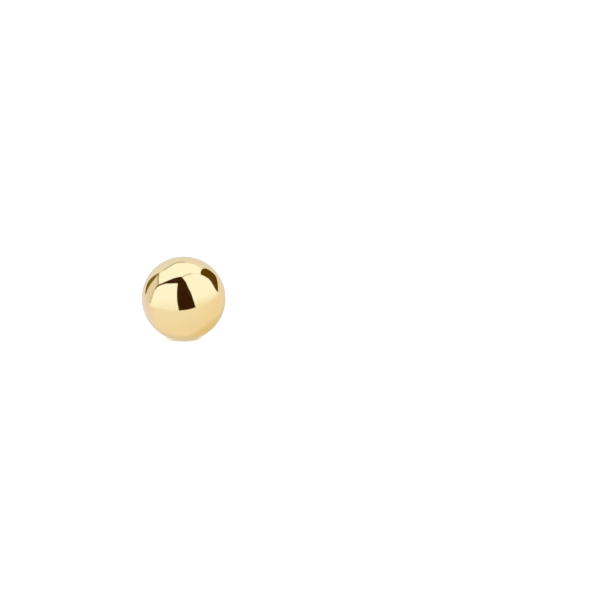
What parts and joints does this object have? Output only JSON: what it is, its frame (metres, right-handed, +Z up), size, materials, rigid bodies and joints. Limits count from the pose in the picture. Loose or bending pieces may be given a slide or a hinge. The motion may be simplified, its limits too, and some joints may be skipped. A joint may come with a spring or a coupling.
{
  "type": "ball stud earring",
  "caption": "Stud earring: a polished round ball on a straight notched post, with a curled butterfly back pushed on, lying at rest.",
  "frame": {"origin": "middle of the footprint, on the surface that the stud lies on", "axes": "+Z up, +Y level, from the ball towards the tip of the post, which slopes down 7.1 degrees, +X to the right seen from the front of the ball"},
  "size_m": [0.005, 0.0144, 0.005],
  "materials": {
    "polished_gold": "mirror polished yellow gold",
    "stamped_gold": "stamped and tumbled yellow gold"
  },
  "bodies": {
    "root": {"ball_and_post": "polished_gold", "butterfly_back": "stamped_gold"}
  },
  "joints": []
}
